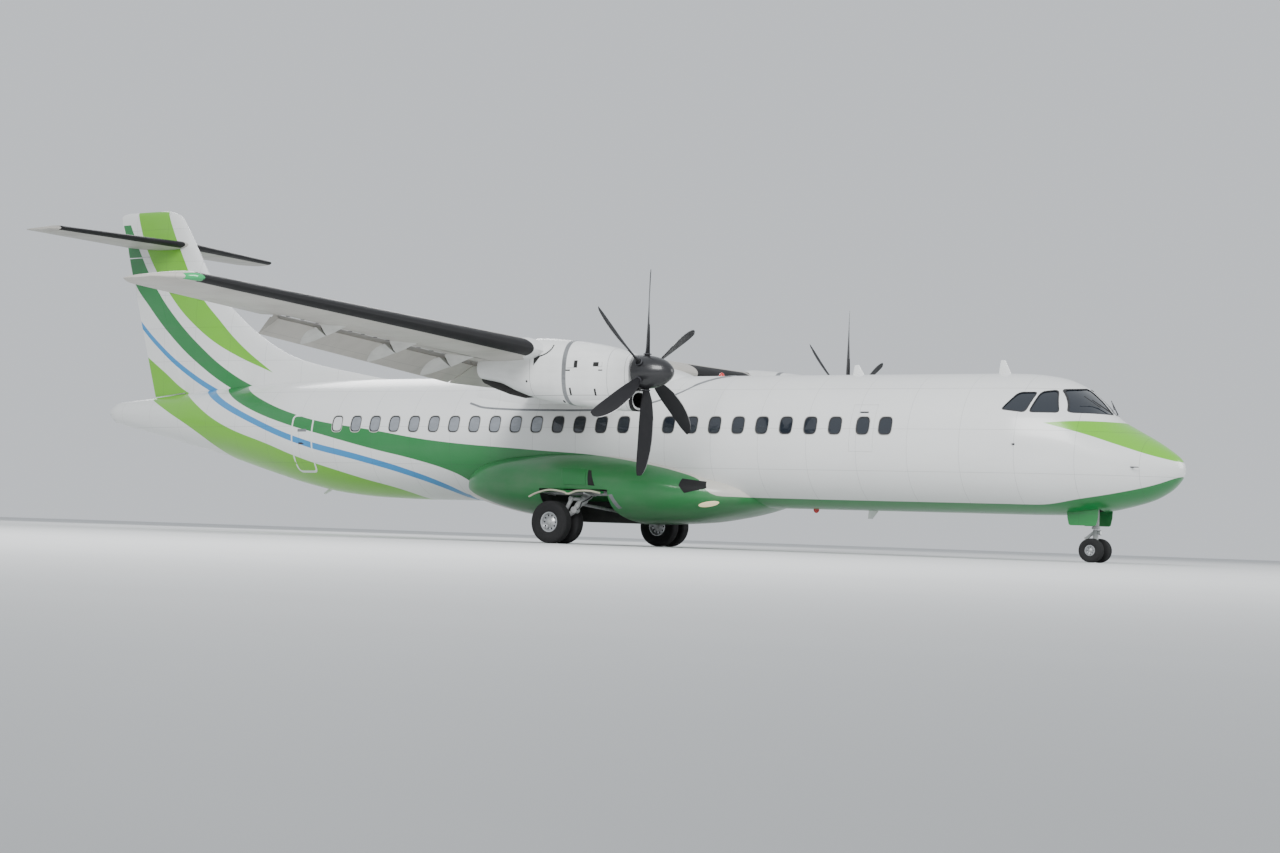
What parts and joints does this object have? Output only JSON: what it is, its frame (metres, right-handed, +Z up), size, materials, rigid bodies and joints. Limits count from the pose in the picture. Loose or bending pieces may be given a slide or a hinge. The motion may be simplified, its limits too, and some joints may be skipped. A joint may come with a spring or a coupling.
{
  "type": "airliner",
  "caption": "A high-wing airliner with two propeller engines, a T-tail and its landing gear down, in white, green and blue.",
  "frame": {"origin": "on the ground under the middle of the length and width", "axes": "+X towards the nose, +Y to the left side, +Z up"},
  "size_m": [27.166, 27.05, 7.65],
  "materials": {
    "paint_white": "glossy airframe paint",
    "paint_wing": "satin grey-beige wing paint",
    "paint_green": "glossy green airframe paint",
    "tyre": "matt rubber",
    "gear_steel": "painted and bare steel gear parts",
    "wheel_alloy": "cast alloy wheel",
    "blade_black": "matt composite",
    "engine_metal": "dark engine metal",
    "cockpit_glass": "dark tinted glass"
  },
  "bodies": {
    "airframe": {"radome": "paint_white", "cockpit_section": "paint_white", "forward_fuselage": "paint_white", "centre_fuselage": "paint_white", "rear_fuselage": "paint_white", "tail_cone": "paint_white", "service_door": "paint_white", "emergency_exit_left": "paint_white", "emergency_exit_right": "paint_white", "wing_fairing": "paint_white", "nacelle_cowl_left": "paint_white", "nacelle_cowl_right": "paint_white", "nacelle_rear_left": "paint_white", "nacelle_rear_right": "paint_white", "fin": "paint_white", "fin_tip": "paint_white", "wing_centre": "paint_wing", "tailplane": "paint_wing", "wing_outer_left": "paint_wing", "wing_outer_right": "paint_wing", "belly_fairing": "paint_green", "main_gear_door_left": "paint_green", "main_gear_door_right": "paint_green", "nose_gear_door_left": "paint_green", "nose_gear_door_right": "paint_green", "main_leg_left": "gear_steel", "main_leg_right": "gear_steel", "nose_leg": "gear_steel", "engine_left": "engine_metal", "engine_right": "engine_metal", "cockpit_glazing": "cockpit_glass"},
    "passenger_door": {"passenger_door": "paint_white"},
    "cargo_door": {"cargo_door": "paint_white"},
    "rudder": {"rudder": "paint_white"},
    "elevator_left": {"elevator_left": "paint_wing"},
    "elevator_right": {"elevator_right": "paint_wing"},
    "nose_steering": {"nose_steering": "gear_steel"},
    "nose_wheels": {"nose_wheels": "wheel_alloy", "nose_tyre_right": "tyre", "nose_tyre_left": "tyre"},
    "aileron_left": {"aileron_left": "paint_wing"},
    "flap_inner_left": {"flap_inner_left": "paint_wing"},
    "flap_outer_left": {"flap_outer_left": "paint_wing"},
    "propeller_left": {"propeller_left": "blade_black", "spinner_left": "blade_black"},
    "main_wheels_left": {"main_left_wheels": "wheel_alloy", "main_left_tyre_inner": "tyre", "main_left_tyre_outer": "tyre"},
    "aileron_right": {"aileron_right": "paint_wing"},
    "flap_inner_right": {"flap_inner_right": "paint_wing"},
    "flap_outer_right": {"flap_outer_right": "paint_wing"},
    "propeller_right": {"propeller_right": "blade_black", "spinner_right": "blade_black"},
    "main_wheels_right": {"main_right_wheels": "wheel_alloy", "main_right_tyre_inner": "tyre", "main_right_tyre_outer": "tyre"}
  },
  "joints": [
    {"name": "propeller_left_spin", "type": "hinge", "parent": "airframe", "child": "propeller_left", "pos_m": [4.453, 4.05, 3.308], "axis": [1, 0, 0], "continuous": true},
    {"name": "propeller_right_spin", "type": "hinge", "parent": "airframe", "child": "propeller_right", "pos_m": [4.453, -4.05, 3.308], "axis": [1, 0, 0], "continuous": true},
    {"name": "main_wheels_left_spin", "type": "hinge", "parent": "airframe", "child": "main_wheels_left", "pos_m": [1.133, 2.05, 0.432], "axis": [0, 1, 0], "continuous": true},
    {"name": "main_wheels_right_spin", "type": "hinge", "parent": "airframe", "child": "main_wheels_right", "pos_m": [1.133, -2.05, 0.432], "axis": [0, 1, 0], "continuous": true},
    {"name": "nose_steer", "type": "hinge", "parent": "airframe", "child": "nose_steering", "pos_m": [11.893, 0, 0.6], "axis": [0, 0, 1], "range_deg": [-60, 60]},
    {"name": "nose_wheels_spin", "type": "hinge", "parent": "nose_steering", "child": "nose_wheels", "pos_m": [11.893, 0, 0.225], "axis": [0, 1, 0], "continuous": true},
    {"name": "passenger_door_open", "type": "hinge", "parent": "airframe", "child": "passenger_door", "pos_m": [-6.077, 1.112, 1.412], "axis": [-1, 0, 0], "range_deg": [0, 130]},
    {"name": "cargo_door_open", "type": "hinge", "parent": "airframe", "child": "cargo_door", "pos_m": [9.2455, 1.176, 2.938], "axis": [1, 0, 0], "range_deg": [0, 100]},
    {"name": "rudder_turn", "type": "hinge", "parent": "airframe", "child": "rudder", "pos_m": [-11.0397, 0, 3.1], "axis": [-0.3899, 0, 0.9209], "range_deg": [-30, 30]},
    {"name": "elevator_left_tilt", "type": "hinge", "parent": "airframe", "child": "elevator_left", "pos_m": [-12.5293, 0.21, 6.8], "axis": [-0.0261, 0.9997, 0], "range_deg": [-13, 23]},
    {"name": "elevator_right_tilt", "type": "hinge", "parent": "airframe", "child": "elevator_right", "pos_m": [-12.5293, -0.21, 6.8], "axis": [0.0261, 0.9997, 0], "range_deg": [-13, 23]},
    {"name": "aileron_left_tilt", "type": "hinge", "parent": "airframe", "child": "aileron_left", "pos_m": [0.3935, 9.92, 3.9961], "axis": [-0.0028, 0.9984, 0.0561], "range_deg": [-14, 14]},
    {"name": "aileron_right_tilt", "type": "hinge", "parent": "airframe", "child": "aileron_right", "pos_m": [0.3935, -9.92, 3.9961], "axis": [0.0028, 0.9984, -0.0561], "range_deg": [-14, 14]},
    {"name": "flap_inner_left_lower", "type": "hinge", "parent": "airframe", "child": "flap_inner_left", "pos_m": [0.52449, 1.25, 3.32721], "axis": [0, -1, 0], "range_deg": [-35, 0]},
    {"name": "flap_inner_right_lower", "type": "hinge", "parent": "airframe", "child": "flap_inner_right", "pos_m": [0.52449, -1.25, 3.32721], "axis": [0, -1, 0], "range_deg": [-35, 0]},
    {"name": "flap_outer_left_lower", "type": "hinge", "parent": "airframe", "child": "flap_outer_left", "pos_m": [0.52449, 4.05, 3.32721], "axis": [0.0076, -0.9975, -0.0704], "range_deg": [-35, 0]},
    {"name": "flap_outer_right_lower", "type": "hinge", "parent": "airframe", "child": "flap_outer_right", "pos_m": [0.52449, -4.05, 3.32721], "axis": [-0.0076, -0.9975, 0.0704], "range_deg": [-35, 0]}
  ],
  "couplings": [
    {"joint": "elevator_right_tilt", "follows": "elevator_left_tilt", "ratio": 1},
    {"joint": "aileron_right_tilt", "follows": "aileron_left_tilt", "ratio": -1},
    {"joint": "flap_inner_right_lower", "follows": "flap_inner_left_lower", "ratio": 1},
    {"joint": "flap_outer_left_lower", "follows": "flap_inner_left_lower", "ratio": 1},
    {"joint": "flap_outer_right_lower", "follows": "flap_inner_left_lower", "ratio": 1}
  ]
}
